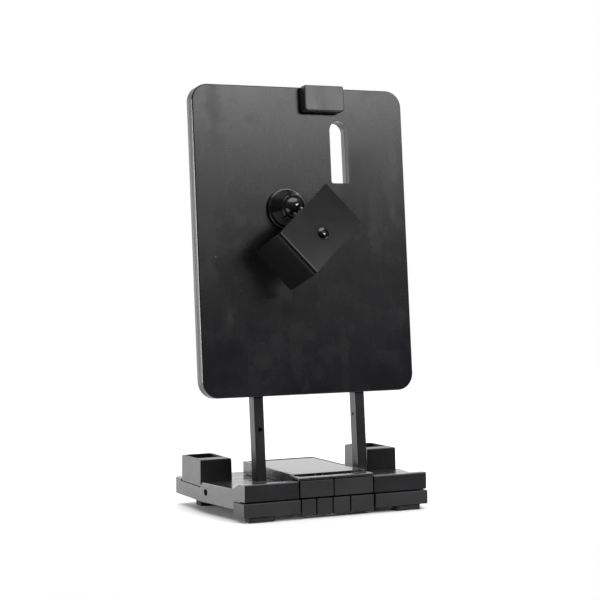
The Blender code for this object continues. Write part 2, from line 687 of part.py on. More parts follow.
def make_lid():
    top = lid_top_z()
    lid = box("lid", (LID_LEFT, LID_FRONT, top - LID_THICK), (LID_RIGHT, LID_BACK, top), "lid", edge=0.4 * MM)
    for number, (left, right) in enumerate(knuckle_spans()):
        join(lid, rod(f"cut_knuckle_body_{number}", KNUCKLE_R, (left, HINGE_Y, hinge_z()),
                      (right, HINGE_Y, hinge_z()),
                      sides=20),
             box(f"cut_knuckle_web_{number}", (left, HINGE_Y - KNUCKLE_R * 0.7, hinge_z()),
                 (right, HINGE_Y + KNUCKLE_R * 0.6, top - LID_THICK / 2)))
    cut(lid, rod("cut_lid_pin_way", HINGE_PIN_R + PIN_GAP, (-BASE_WIDTH, HINGE_Y, hinge_z()),
                 (BASE_WIDTH, HINGE_Y, hinge_z()), sides=16))
    rod("lid_hinge_pin", HINGE_PIN_R, (LID_LEFT - 1.8 * MM, HINGE_Y, hinge_z()),
        (LID_RIGHT + 0.4 * MM, HINGE_Y, hinge_z()), "steel", sides=16)
    return lid


# ---------------------------------------------------------------- socket blocks
def block_sides(side):
    """Left, right, front and back of a socket block."""
    outer = half_width(FLARE_END_Y) - BLOCK_INSET
    left, right = sorted((side * outer, side * (outer - BLOCK_WIDTH)))
    front = STEP_Y + STEP_LENGTH + GAP / 2
    return left, right, front, front + BLOCK_DEPTH


def make_blocks():
    """Each block stands on the rear deck, with a skirt on its outer side that hides the deck's rounded edge."""
    bottom = REAR_DECK_Z + GAP
    skirt = bottom - SKIRT_DROP
    top = REAR_DECK_Z + BLOCK_HEIGHT
    spare = 2 * BLOCK_EDGE      # cut away again, so that the bottom stays sharp
    for side, word in ((-1, "left"), (1, "right")):
        left, right, front, back = block_sides(side)
        block = box(f"socket_block_{word}", (left, front, skirt - spare), (right, back, top), "base",
                    top_inset=BLOCK_DRAFT, edge=BLOCK_EDGE)
        outer = max(abs(left), abs(right))
        low_left, low_right = sorted((0.0, side * (outer - SKIRT_WIDTH)))
        inset = BLOCK_DRAFT + SOCKET_WALL
        cut(block,
            box(f"cut_below_{word}", (left - spare, front - spare, 0), (right + spare, back + spare, skirt)),
            box(f"cut_seat_{word}", (low_left, front - spare, 0), (low_right, back + spare, bottom)),
            prism(f"cut_socket_{word}",
                  rounded_rectangle(left + inset, right - inset, back - inset - SOCKET_LENGTH, back - inset,
                                    (2 * MM,) * 4, 3),
                  "Z", bottom + SOCKET_FLOOR, top + 5 * MM))


# ---------------------------------------------------------------- legs
def sleeve_corners(side, extra=0.0):
    """Low and high XY corners of the sleeve that holds a leg in the base."""
    reach = DECK_Z - SLEEVE_BOTTOM_Z
    slant = reach * math.tan(math.radians(LEAN))
    middle = leg_centre_y((DECK_Z + SLEEVE_BOTTOM_Z) / 2)
    half_x = LEG_WIDTH / 2 + SLEEVE_WALL + extra
    half_y = LEG_DEPTH / 2 + SLEEVE_WALL + slant / 2 + extra
    return (side * LEG_X - half_x, middle - half_y), (side * LEG_X + half_x, middle + half_y)


def make_legs(panel_frame):
    for side, word in ((-1, "left"), (1, "right")):
        x = side * LEG_X
        low = (x - LEG_WIDTH / 2, LEG_FRONT, -LEG_DOWN)
        high = (x + LEG_WIDTH / 2, LEG_FRONT + LEG_DEPTH, LEG_UP)
        leg = box(f"leg_{word}", low, high, "base", panel_frame, edge=LEG_EDGE)
        back = LEG_FRONT + LEG_DEPTH
        for number in range(2):
            z = DETENT_HEIGHT - number * PANEL_DROP
            cut(leg, rod(f"cut_detent_{word}_{number}", DETENT_R, (x, back - DETENT_DEPTH, z),
                         (x, back + 2 * MM, z),
                         parent=panel_frame, sides=16))
        if side < 0:
            z = DETENT_HEIGHT - PANEL_DROP
            cut(leg, rod("cut_leg_front_hole", DETENT_R, (x, 0, z), (x, LEG_FRONT + DETENT_DEPTH, z),
                         parent=panel_frame, sides=16))
        else:
            z = -17 * MM
            middle = LEG_FRONT + LEG_DEPTH / 2
            cut(leg, rod("cut_leg_side_hole", 1.3 * MM, (low[0] - 1 * MM, middle, z),
                         (low[0] + 2.5 * MM, middle, z),
                         parent=panel_frame, sides=14))
        screw_y = leg_centre_y(SLEEVE_BOTTOM_Z)
        screw_top = SLEEVE_BOTTOM_Z + 9 * MM
        cut(leg, rod(f"cut_leg_screw_{word}", LEG_SCREW_R + GAP, (x, screw_y, 0),
                     (x, screw_y, screw_top + 1 * MM),
                     sides=14))

        sleeve_low, sleeve_high = sleeve_corners(side)
        socket = box(f"leg_socket_{word}", (*sleeve_low, SLEEVE_BOTTOM_Z),
                     (*sleeve_high, DECK_Z + SLEEVE_PROUD), "base")
        cut(socket,
            box(f"cut_leg_way_{word}", (low[0] - GAP, low[1] - GAP, low[2] - GAP),
                (high[0] + GAP, high[1] + GAP, 0),
                parent=panel_frame),
            rod(f"cut_socket_screw_{word}", LEG_SCREW_R + GAP, (x, screw_y, 0), (x, screw_y, screw_top),
                sides=14))
        screw = rod(f"leg_screw_{word}", LEG_SCREW_HEAD_R, (x, screw_y, SIDE_BOTTOM_Z),
                    (x, screw_y, SLEEVE_BOTTOM_Z - GAP),
                    "steel", sides=16)
        join(screw, rod(f"cut_leg_shank_{word}", LEG_SCREW_R, (x, screw_y, SLEEVE_BOTTOM_Z - 1 * MM),
                        (x, screw_y, screw_top), sides=12))


# ---------------------------------------------------------------- panel
def panel_outline(inset):
    half = PANEL_WIDTH / 2 - inset
    return rounded_rectangle(-half, half, inset, PANEL_HEIGHT - inset, (PANEL_CORNER - inset,) * 4, 8)


def slot_outline(extra):
    half = SLOT_WIDTH / 2 + extra
    square = 1.5 * MM
    return rounded_rectangle(SLOT_X - half, SLOT_X + half, SLOT_BOTTOM - extra, SLOT_TOP + extra,
                             (square, square, half * 0.999, half * 0.999), 8)


def panel_screw_places():
    half = PANEL_WIDTH / 2 - PANEL_SCREW_INSET
    return [(x, z) for x in (-half, half) for z in (PANEL_SCREW_INSET, PANEL_HEIGHT - PANEL_SCREW_INSET)]


def shell_hollow(name, low, high, panel):
    """The space inside a shell, which leaves a wall round the slot."""
    hollow = prism(f"cut_{name}_hollow", panel_outline(SHELL_WALL), "Y", low, high, parent=panel)
    cut(hollow, prism(f"cut_{name}_slot_wall", slot_outline(SLOT_WALL), "Y", low - 5 * MM, high + 5 * MM,
                      parent=panel))
    return hollow


def make_panel_front(panel):
    shell = prism("panel_front", panel_outline(0), "Y", 0, PANEL_SPLIT, "panel", panel)
    round_edges(shell, SHELL_EDGE, where=lambda co: near(co.y, 0))
    slit_top = CLIP_BOTTOM + 0.5 * MM + NECK_HEIGHT + CLIP_TRAVEL + GAP
    cut(shell,
        shell_hollow("front", SHELL_WALL, PANEL_SPLIT + 5 * MM, panel),
        prism("cut_front_slot", slot_outline(0), "Y", -5 * MM, PANEL_SPLIT + 5 * MM, parent=panel),
        box("cut_clip_slit", (NECK_X - NECK_WIDTH / 2 - SLIDE_GAP, -1 * MM, CLIP_BOTTOM + 0.5 * MM - GAP),
            (NECK_X + NECK_WIDTH / 2 + SLIDE_GAP, SHELL_WALL + 1 * MM, slit_top), parent=panel),
        rod("cut_cup_screw_way", 1.5 * MM + GAP, (BALL.x, -1 * MM, BALL.z),
            (BALL.x, SHELL_WALL + 1 * MM, BALL.z),
            parent=panel, sides=16))
    for side in (-1, 1):
        half = LEG_WIDTH / 2 + GUIDE_WALL + 2 * GAP
        cut(shell, box(f"cut_front_leg_way_{side}", (side * LEG_X - half, SHELL_WALL, -1 * MM),
                       (side * LEG_X + half, PANEL_SPLIT + 1 * MM, SHELL_WALL + 1 * MM), parent=panel))
    for number, (x, z) in enumerate(panel_screw_places()):
        join(shell, rod(f"cut_front_boss_{number}", 3.2 * MM, (x, SHELL_WALL - 0.5 * MM, z),
                        (x, PANEL_SPLIT - GAP, z),
                        parent=panel, sides=16))
        cut(shell, rod(f"cut_front_boss_hole_{number}", 1.2 * MM + GAP, (x, SHELL_WALL, z),
                       (x, PANEL_THICK, z),
                       parent=panel, sides=12))
    join(shell, rod("cut_peg", 1.2 * MM, (NECK_X, SHELL_WALL - 0.5 * MM, PEG_HEIGHT),
                    (NECK_X, PANEL_SPLIT + 3 * MM, PEG_HEIGHT), parent=panel, sides=12))
    return shell


def make_panel_back(panel):
    front = PANEL_SPLIT + PANEL_SEAM
    shell = prism("panel_back", panel_outline(0), "Y", front, PANEL_THICK, "panel", panel)
    round_edges(shell, SHELL_EDGE, where=lambda co: near(co.y, PANEL_THICK))
    inner = PANEL_THICK - SHELL_WALL
    cut(shell,
        shell_hollow("back", front - 5 * MM, inner, panel),
        prism("cut_back_slot", slot_outline(0), "Y", front - 5 * MM, PANEL_THICK + 5 * MM, parent=panel))
    for side in (-1, 1):
        half = LEG_WIDTH / 2 + SLIDE_GAP + GUIDE_WALL + GAP
        cut(shell, box(f"cut_guide_window_{side}", (side * LEG_X - half, front - 1 * MM, -1 * MM),
                       (side * LEG_X + half, PANEL_THICK + 1 * MM, GUIDE_HEIGHT + GAP), parent=panel))
    for number, (x, z) in enumerate(panel_screw_places()):
        join(shell, rod(f"cut_back_boss_{number}", 3.6 * MM, (x, front + GAP, z), (x, inner + 0.5 * MM, z),
                        parent=panel, sides=16))
        cut(shell,
            rod(f"cut_back_boss_hole_{number}", 1.2 * MM + GAP, (x, 0, z), (x, PANEL_THICK + 1 * MM, z),
                parent=panel, sides=12),
            rod(f"cut_back_head_{number}", 2.3 * MM + GAP, (x, PANEL_THICK - 2 * MM, z),
                (x, PANEL_THICK + 1 * MM, z),
                parent=panel, sides=16))
        screw = rod(f"panel_screw_{number + 1}", 2.3 * MM, (x, PANEL_THICK - 2 * MM + GAP, z),
                    (x, PANEL_THICK - 0.2 * MM, z),
                    "steel", panel, sides=16)
        join(screw, rod(f"cut_panel_shank_{number}", 1.2 * MM, (x, SHELL_WALL + 1 * MM, z),
                        (x, PANEL_THICK - 1 * MM, z),
                        parent=panel, sides=12))
    return shell


def make_guides(panel):
    """A channel behind each leg, open to the front, with a lock knob at its back."""
    for side, word in ((-1, "left"), (1, "right")):
        x = side * LEG_X
        inner = LEG_WIDTH / 2 + SLIDE_GAP
        outer = inner + GUIDE_WALL
        leg_back = LEG_FRONT + LEG_DEPTH + SLIDE_GAP
        back = leg_back + GUIDE_WALL
        front = SHELL_WALL + GAP
        wing = outer + GUIDE_FLANGE
        wing_front = PANEL_THICK + GAP
        wing_back = wing_front + GUIDE_FLANGE_THICK
        plan = [(x - outer, front), (x - inner, front), (x - inner, leg_back), (x + inner, leg_back),
                (x + inner, front),
                (x + outer, front), (x + outer, wing_front), (x + wing, wing_front), (x + wing, wing_back),
                (x + outer, wing_back), (x + outer, back), (x - outer, back), (x - outer, wing_back),
                (x - wing, wing_back), (x - wing, wing_front), (x - outer, wing_front)]
        guide = prism(f"leg_guide_{word}", plan, "Z", 0.3 * MM, GUIDE_HEIGHT, "base", panel)
        z = DETENT_HEIGHT
        cut(guide, rod(f"cut_knob_way_{word}", KNOB_SHANK_R + GAP, (x, leg_back - 1 * MM, z),
                       (x, back + 1 * MM, z),
                       parent=panel, sides=16))
        knob_frame = empty(f"knob_{word}_axis", panel, (x, back, z))
        knob = rod(f"lock_knob_{word}", KNOB_R, (0, 0.8 * MM, 0), (0, 0.8 * MM + KNOB_LENGTH, 0), "base",
                   knob_frame,
                   sides=24)
        round_edges(knob, 0.8 * MM, segments=1)
        join(knob, rod(f"cut_knob_shank_{word}", KNOB_SHANK_R, (0, -GUIDE_WALL + 0.1 * MM, 0), (0, 2 * MM, 0),
                       parent=knob_frame, sides=16))
        for number in range(8):
            angle = 2 * math.pi * number / 8
            place = Vector((math.cos(angle), 0, math.sin(angle))) * (KNOB_R + 0.6 * MM)
            cut(knob, rod(f"cut_knob_flute_{word}_{number}", 1.4 * MM, place, place + Vector((0, 20 * MM, 0)),
                          parent=knob_frame, sides=10))


def empty(name, parent, location, rotation=(0, 0, 0)):
    made = bpy.data.objects.new(name, None)
    parts.objects.link(made)
    made.parent = parent
    made.location = location
    made.rotation_euler = Euler([math.radians(v) for v in rotation])
    return made


# ---------------------------------------------------------------- top clip
def make_clip(panel):
    left, right = CLIP_X - CLIP_WIDTH / 2, CLIP_X + CLIP_WIDTH / 2
    clip = prism("top_clip", rounded_rectangle(left, right, CLIP_BOTTOM, CLIP_TOP,
                                               (3 * MM, 3 * MM, 2 * MM, 2 * MM), 4),
                 "Y", -CLIP_PROUD, -GAP, "base", panel)
    round_edges(clip, CLIP_EDGE, where=lambda co: near(co.y, -CLIP_PROUD))
    neck_low = CLIP_BOTTOM + 0.5 * MM
    neck_high = neck_low + NECK_HEIGHT
    tongue_front = SHELL_WALL + SLIDE_GAP
    tongue_back = tongue_front + TONGUE_THICK
    half = NECK_WIDTH / 2
    join(clip,
         box("cut_clip_neck", (NECK_X - half, -2 * MM, neck_low),
             (NECK_X + half, tongue_back - 0.5 * MM, neck_high),
             parent=panel),
         box("cut_clip_tongue", (NECK_X - half + 1 * MM, tongue_front, TONGUE_BOTTOM),
             (NECK_X + half - 3 * MM, tongue_back, neck_high + 0.4 * MM), parent=panel))
    length = TONGUE_BOTTOM - PEG_HEIGHT - 1.2 * MM - 4 * GAP - 2 * CLIP_WIRE_R
    start = (NECK_X - 2 * MM, tongue_front + TONGUE_THICK / 2 + 1.0 * MM,
             PEG_HEIGHT + 1.2 * MM + 2 * GAP + CLIP_WIRE_R)
    tube("clip_spring", coil(start, (0, 0, 1), CLIP_SPRING_R, length, 9, per_turn=8), CLIP_WIRE_R, "steel",
         panel,
         sides_level=0)


# ---------------------------------------------------------------- ball mount and bracket
def forward(centre):
    """A turned profile's frame: its height runs out of the panel's face, towards the user."""
    return Matrix.Translation(centre) @ Matrix.Rotation(math.radians(90), 4, "X")


def make_ball_mount(panel):
    face = Vector((BALL.x, -GAP, BALL.z))
    flange = [(CUP_R + GAP, FLANGE_THICK), (FLANGE_R - 1.2 * MM, FLANGE_THICK),
              (FLANGE_R - 0.3 * MM, FLANGE_THICK - 0.5 * MM),
              (FLANGE_R, FLANGE_THICK - 1.3 * MM), (FLANGE_R, 0), (CUP_R + GAP, 0)]
    turned("socket_flange", flange, forward(face), "gloss", panel, steps=40)

    depth = -BALL.y - GAP                       # the ball's centre above the cup's foot
    mouth = depth + CUP_MOUTH
    hollow_r = BALL_R + BALL_GAP
    skirt = FLANGE_THICK + GAP
    cup = [(CUP_MOUTH_R - 0.5 * MM, mouth), (CUP_MOUTH_R, mouth - 0.6 * MM),
           (CUP_SKIRT_R - 2.0 * MM, skirt + 4.2 * MM),
           (CUP_SKIRT_R, skirt + 1.0 * MM), (CUP_SKIRT_R, skirt), (CUP_R, skirt), (CUP_R, 0), (3.4 * MM, 0),
           (3.4 * MM, 1.0 * MM)]
    back = math.asin(3.4 * MM / hollow_r)
    front = math.acos(CUP_MOUTH / hollow_r)
    for i in range(7):                          # the spherical seat, from its back to its mouth
        angle = math.pi - back + (front - (math.pi - back)) * i / 6
        cup.append((hollow_r * math.sin(angle), depth + hollow_r * math.cos(angle)))
    cup_axis = empty("ball_pan_axis", panel, BALL)
    foot = Vector((0, -BALL.y - GAP, 0))
    body = turned("socket_cup", cup, forward(foot), "gloss", cup_axis, steps=36)
    for number in range(PETALS // 2):
        slit = box(f"cut_petal_{number}", (-CUP_SKIRT_R - 1 * MM, -CUP_MOUTH - 2 * MM, -PETAL_SLIT / 2),
                   (CUP_SKIRT_R + 1 * MM, PETAL_DEPTH, PETAL_SLIT / 2), parent=cup_axis)
        slit.rotation_euler = Euler((0, math.radians(180 * number / (PETALS // 2) + 12), 0))
        cut(body, slit)
    screw = rod("socket_screw", 2.8 * MM, (BALL.x, -GAP - 2.5 * MM, BALL.z),
                (BALL.x, -GAP - 0.9 * MM, BALL.z), "steel",
                panel, sides=18)
    join(screw, rod("cut_socket_shank", 1.5 * MM, (BALL.x, -GAP - 1.2 * MM, BALL.z),
                    (BALL.x, SHELL_WALL + 3 * MM, BALL.z), parent=panel, sides=14))

    turn = Euler([math.radians(v) for v in BRACKET_TURN]).to_matrix()
    screw_point = BRACKET_CENTRE + turn @ Vector((BRACKET_SCREW_X, 0, BRACKET_SCREW_Z))
    away = turn @ Vector((0, 1, 0))
    boss_face = screw_point + away * (SHEET + GAP)
    elbow = boss_face + away * BOSS_LENGTH
    knee = BALL + NECK_AIM.normalized() * NECK_REACH
    stud_axis = empty("ball_tilt_axis", cup_axis, (0, 0, 0))
    stud = bpy.data.objects.new("ball_stud", ball_mesh())
    parts.objects.link(stud)
    stud.data.materials.append(FINISH["gloss"])
    stud.parent = stud_axis
    knee_local, elbow_local, boss_local = knee - BALL, elbow - BALL, boss_face - BALL
    route = bezier(Vector((0, 0, 0)), knee_local * 1.25, elbow_local + away * 9 * MM,
                   elbow_local - away * 3 * MM, 12)
    join(stud, tube("cut_neck", route, NECK_R, parent=stud_axis, sides_level=3),
         rod("cut_boss", BOSS_R, boss_local, elbow_local, parent=stud_axis, sides=24,
             end_radius=BOSS_R * 0.8))
    cut(stud, rod("cut_stud_thread", BRACKET_SCREW_R + PIN_GAP, boss_local - away * 2 * MM,
                  boss_local + away * 8 * MM,
                  parent=stud_axis, sides=16))

    bracket_axis = empty("bracket_axis", stud_axis, BRACKET_CENTRE - BALL, BRACKET_TURN)
    make_bracket(bracket_axis)


def ball_mesh():
    bm = bmesh.new()
    bmesh.ops.create_uvsphere(bm, u_segments=24, v_segments=12, radius=BALL_R)
    mesh = mesh_from(bm, "ball_stud")
    mesh.shade_smooth()
    return mesh


def make_bracket(axis):
    """A bent sheet: a face towards the user and a flange that runs back from its lower edge."""
    half = BRACKET_LONG / 2
    outer, inner = [], []
    for i in range(6):
        angle = math.radians(90 * i / 5)
        outer.append((BEND_R + SHEET - (BEND_R + SHEET) * math.cos(angle),
                      -half + (BEND_R + SHEET) * (1 - math.sin(angle))))
        inner.append((BEND_R + SHEET - BEND_R * math.sin(angle),
                      -half + SHEET + BEND_R * (1 - math.cos(angle))))
    outline = [(0, half)] + outer + [(BRACKET_FLANGE, -half),
                                     (BRACKET_FLANGE, -half + SHEET)] + inner + [(SHEET, half)]
    wide = BRACKET_SHORT / 2
    bracket = prism("bracket", outline, "X", -wide, wide, "sheet", axis)
    x, z = BRACKET_SCREW_X, BRACKET_SCREW_Z
    cut(bracket, rod("cut_bracket_hole", BRACKET_SCREW_R + PIN_GAP, (x, -5 * MM, z), (x, 5 * MM, z),
                     parent=axis, sides=18))
    head = turned("bracket_screw",
                  [(0, BRACKET_HEAD), (2.2 * MM, BRACKET_HEAD - 0.1 * MM),
                   (3.6 * MM, BRACKET_HEAD - 0.7 * MM),
                   (BRACKET_HEAD_R, BRACKET_HEAD - 1.7 * MM), (BRACKET_HEAD_R, GAP), (BRACKET_SCREW_R, GAP),
                   (BRACKET_SCREW_R, -SHEET - 7 * MM), (0, -SHEET - 7 * MM)],
                  forward(Vector((x, 0, z))), "dark_steel", axis, steps=28)
    for number, turn in enumerate((0, 90)):
        arm = box(f"cut_cross_{number}", (-2.2 * MM, -BRACKET_HEAD - 1 * MM, -0.45 * MM),
                  (2.2 * MM, -BRACKET_HEAD + 1.3 * MM, 0.45 * MM), parent=axis)
        arm.location = (x, 0, z)
        arm.rotation_euler = Euler((0, math.radians(turn + 20), 0))
        cut(head, arm)


# ---------------------------------------------------------------- assembly
def main():
    panel_rest = empty("panel_rest", None, (0, PANEL_Y, PANEL_Z), (-LEAN, 0, 0))
    make_base_cover()
    make_bottom_plate()
    make_base_screws()
    make_feet()
    make_lower_rails()
    make_keys()
    make_key_frame()
    make_bay()
    make_lid()
    make_blocks()
    make_legs(panel_rest)
    make_panel_front(panel_rest)
    make_panel_back(panel_rest)
    make_guides(panel_rest)
    make_clip(panel_rest)
    make_ball_mount(panel_rest)


main()
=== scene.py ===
"""Album stand: fine surfaces, materials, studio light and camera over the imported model.

Frame: +X right, +Y away from the user, +Z up, metres; the stand rests on z = 0.
"""

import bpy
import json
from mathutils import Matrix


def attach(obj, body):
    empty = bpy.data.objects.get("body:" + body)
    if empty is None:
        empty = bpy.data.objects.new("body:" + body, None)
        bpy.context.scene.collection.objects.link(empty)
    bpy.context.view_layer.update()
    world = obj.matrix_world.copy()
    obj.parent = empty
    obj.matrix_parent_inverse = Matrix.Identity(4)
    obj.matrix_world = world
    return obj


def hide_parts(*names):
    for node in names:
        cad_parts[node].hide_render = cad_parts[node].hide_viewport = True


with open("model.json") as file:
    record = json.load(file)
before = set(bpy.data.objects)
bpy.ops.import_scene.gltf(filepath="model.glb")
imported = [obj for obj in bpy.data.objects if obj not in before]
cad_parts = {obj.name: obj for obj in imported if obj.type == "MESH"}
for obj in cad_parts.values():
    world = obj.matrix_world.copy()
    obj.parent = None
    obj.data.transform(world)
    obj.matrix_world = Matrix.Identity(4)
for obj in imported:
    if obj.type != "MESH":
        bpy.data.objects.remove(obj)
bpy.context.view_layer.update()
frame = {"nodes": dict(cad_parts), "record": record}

import json
import math

import bmesh
import bpy
from mathutils import Matrix, Vector

MM = 0.001
WELD = 0.002 * MM           # corners this close are one
FLAT_ANGLE = 0.6            # degrees between faces that are one flat
SHARP_ANGLE = 34            # degrees; an edge this sharp is rounded, and one below it is shaded smooth
BEVEL_STEPS = 2
BLACK = (0.0095, 0.0095, 0.0105)
DUST = (0.2, 0.2, 0.2)
SKIN_DEPTH = 0.00004        # metres, of the fine grain on moulded plastic

# The camera's place is in metres, its turn in degrees and its lens and sensor in millimetres.
CAMERA_PLACE = (-0.5001, -1.0924, 0.1804)
CAMERA_YAW, CAMERA_PITCH, CAMERA_ROLL = 24.55, 0.94, -0.75
CAMERA_LENS, CAMERA_SENSOR = 92.5, 36
FLOOR_LOW, FLOOR_HIGH = (-1.2, -0.24), (1.6, 1.3)
WALL_STRENGTH = 1.55
CEILING_STRENGTH = 3.6
ROOM_LOW, ROOM_HIGH = 0.05, 0.2     # the dark room's strength at the floor and higher up

record = frame["record"]
body_of_node = {node: body for body, nodes in record["behaviour"]["bodies"].items() for node in nodes}


# ---------------------------------------------------------------- shader helpers
class Shader:
    """A material's node tree, with short ways to add and join nodes."""

    def __init__(self, name):
        self.material = bpy.data.materials.new(name)
        self.material.use_nodes = True
        self.tree = self.material.node_tree
        self.surface = self.tree.nodes["Principled BSDF"]
        place = self.tree.nodes.new("ShaderNodeTexCoord")
        # The object-space normal is used only to paint shade on front faces in moulded().
        self.place, self.painted_shade_facing = place.outputs["Object"], place.outputs["Normal"]

    def add(self, kind, inputs=None, **settings):
        node = self.tree.nodes.new(kind)
        for key, value in settings.items():
            setattr(node, key, value)
        for key, value in (inputs or {}).items():
            if isinstance(value, bpy.types.NodeSocket):
                self.tree.links.new(value, node.inputs[key])
            else:
                node.inputs[key].default_value = value
        return node

    def noise(self, scale, detail=3.0, roughness=0.5, stretch=None):
        place = self.place
        if stretch:
            place = self.add("ShaderNodeMapping", {"Vector": place, "Scale": stretch}).outputs["Vector"]
        return self.add("ShaderNodeTexNoise", {"Vector": place, "Scale": scale, "Detail": detail,
                                               "Roughness": roughness}).outputs["Fac"]

    def remap(self, value, low, high, out_low, out_high):
        """A value in low..high as out_low..out_high, held at the ends."""
        return self.add("ShaderNodeMapRange", {"Value": value, "From Min": low, "From Max": high,
                                               "To Min": out_low, "To Max": out_high}).outputs["Result"]

    def combine(self, operation, first, second):
        node = self.add("ShaderNodeMath", operation=operation)
        for socket, value in zip(node.inputs, (first, second)):
            if isinstance(value, bpy.types.NodeSocket):
                self.tree.links.new(value, socket)
            else:
                socket.default_value = value
        return node.outputs["Value"]

    def tint(self, value, low_colour, high_colour):
        """A value in 0..1 as a blend of two colours."""
        node = self.add("ShaderNodeMix", {"Factor": value}, data_type="RGBA")
        node.inputs["A"].default_value = (*low_colour, 1)
        node.inputs["B"].default_value = (*high_colour, 1)
        return node.outputs["Result"]

    def set(self, socket, value):
        if isinstance(value, bpy.types.NodeSocket):
            self.tree.links.new(value, self.surface.inputs[socket])
        else:
            self.surface.inputs[socket].default_value = value

    def bump(self, height, strength, distance):
        bump = self.add("ShaderNodeBump", {"Height": height, "Strength": strength, "Distance": distance})
        self.tree.links.new(bump.outputs["Normal"], self.surface.inputs["Normal"])


def specks(shader, scale, size, share):
    """Small round dots in a random share of a Voronoi pattern's cells: 1 in a dot, 0 elsewhere."""
    cells = shader.add("ShaderNodeTexVoronoi", {"Vector": shader.place, "Scale": scale})
    near = shader.remap(cells.outputs["Distance"], size * 0.6, size, 1, 0)
    parts = shader.add("ShaderNodeSeparateColor", {"Color": cells.outputs["Color"]})
    chosen = shader.combine("LESS_THAN", parts.outputs["Red"], share)
    return shader.combine("MULTIPLY", near, chosen)


def moulded(name, colour, roughness, specular=0.5, front=None, grain=0.12, dust=0.0, smudge=0.08):
    """Moulded black plastic: fine grain, faint smudges, some dust; with front given, faces turned towards the user
    (-Y) get that lower specular level, painted shade on the front faces.
    """
    shader = Shader(name)
    cloud = shader.noise(26, detail=4)
    fine = shader.noise(5200, detail=2)
    streak = shader.noise(90, detail=5, stretch=(1, 1, 0.35))
    lighter = tuple(channel * 1.5 + 0.004 for channel in colour)
    drift = shader.remap(cloud, 0.35, 0.7, 0, 1)
    base = shader.tint(drift, colour, lighter)
    rough = shader.combine("ADD", shader.remap(cloud, 0.3, 0.7, roughness - smudge / 2, roughness + smudge / 2),
                           shader.remap(streak, 0.45, 0.75, 0, smudge))
    if dust:
        dots = specks(shader, 150, 0.07, dust)
        mix = shader.add("ShaderNodeMix", {"Factor": dots, "A": base}, data_type="RGBA")
        mix.inputs["B"].default_value = (0.22, 0.22, 0.22, 1)
        base = mix.outputs["Result"]
        rough = shader.combine("ADD", rough, shader.combine("MULTIPLY", dots, 0.3))
    shader.set("Base Color", base)
    shader.set("Roughness", rough)
    if front is None:
        shader.set("Specular IOR Level", specular)
    else:
        # Painted shade: the specular level falls from specular to front as the face normal turns towards -Y,
        # darkening the front faces.
        painted_shade_facing = shader.add("ShaderNodeSeparateXYZ", {"Vector": shader.painted_shade_facing}).outputs["Y"]
        shader.set("Specular IOR Level", shader.remap(painted_shade_facing, -0.9, -0.5, front, specular))
    shader.bump(fine, grain, SKIN_DEPTH)
    return shader.material


def panel_plastic():
    """The panel's front: a satin skin with cloudy smudges, short scuffs and dust."""
    shader = Shader("panel_plastic_fine")
    cloud = shader.noise(17, detail=5, roughness=0.6)
    patch = shader.noise(48, detail=3)
    wipe = shader.noise(60, detail=4, stretch=(1, 1, 0.25))
    fine = shader.noise(4800, detail=2)
    scuff_mask = shader.remap(shader.noise(70, detail=2, stretch=(1, 1, 0.3)), 0.67, 0.72, 0, 1)
    dots = specks(shader, 120, 0.09, 0.05)
    base = shader.tint(shader.remap(cloud, 0.35, 0.7, 0, 1), (0.0065, 0.0067, 0.008), (0.0105, 0.0107, 0.012))
    marks = shader.combine("MAXIMUM", shader.combine("MULTIPLY", scuff_mask, 0.05),
                           shader.combine("MULTIPLY", dots, 0.5))
    mix = shader.add("ShaderNodeMix", {"Factor": marks, "A": base}, data_type="RGBA")
    mix.inputs["B"].default_value = (*DUST, 1)
    rough = shader.remap(cloud, 0.3, 0.75, 0.22, 0.3)
    rough = shader.combine("ADD", rough, shader.remap(patch, 0.55, 0.7, 0, 0.05))
    rough = shader.combine("ADD", rough, shader.remap(wipe, 0.5, 0.7, 0, 0.04))
    shader.set("Base Color", mix.outputs["Result"])
    shader.set("Roughness", rough)
    shader.set("Specular IOR Level", 0.32)
    shader.bump(fine, 0.12, SKIN_DEPTH)
    return shader.material


def gloss_plastic():
    """The ball mount: glossy, with a hint of waviness and dust."""
    shader = Shader("mount_gloss_fine")
    wave = shader.noise(220, detail=2)
    shader.set("Base Color", shader.tint(wave, (0.007, 0.007, 0.008), (0.013, 0.013, 0.014)))
    shader.set("Roughness", shader.remap(wave, 0.3, 0.7, 0.08, 0.15))
    shader.set("Specular IOR Level", 0.6)
    shader.bump(wave, 0.1, 0.0002)
    return shader.material


def coated_sheet():
    """The bracket: satin powder coat with a fine orange-peel skin."""
    shader = Shader("bracket_sheet_fine")
    peel = shader.noise(1500, detail=2)
    cloud = shader.noise(40, detail=3)
    shader.set("Base Color", shader.tint(cloud, (0.007, 0.007, 0.008), (0.011, 0.011, 0.012)))
    shader.set("Roughness", shader.remap(cloud, 0.3, 0.7, 0.2, 0.28))
    shader.set("Specular IOR Level", 0.15)
    shader.bump(peel, 0.15, 0.00005)
    return shader.material


def steel(name, colour, roughness, stretch=(1, 1, 1)):
    """Bare or blackened steel with fine drawn lines."""
    shader = Shader(name)
    lines = shader.noise(900, detail=3, stretch=stretch)
    shader.set("Base Color", shader.tint(lines, tuple(c * 0.8 for c in colour), colour))
    shader.set("Metallic", 1.0)
    shader.set("Roughness", shader.remap(lines, 0.3, 0.7, roughness - 0.06, roughness + 0.08))
    shader.bump(lines, 0.08, 0.00005)
    return shader.material


def gloss_lid():
    """The lid: glossy black plastic that mirrors what stands behind it, with faint smears and dust."""
    shader = Shader("lid_gloss_fine")
    smear = shader.noise(38, detail=4)
    wave = shader.noise(60, detail=1)
    dots = specks(shader, 130, 0.07, 0.05)
    mix = shader.add("ShaderNodeMix", {"Factor": dots}, data_type="RGBA")
    mix.inputs["A"].default_value = (0.010, 0.010, 0.011, 1)
    mix.inputs["B"].default_value = (*DUST, 1)
    shader.set("Base Color", mix.outputs["Result"])
    shader.set("Roughness", shader.remap(smear, 0.3, 0.7, 0.07, 0.13))
    shader.set("Specular IOR Level", 0.25)
    shader.bump(wave, 0.02, 0.0002)
    return shader.material


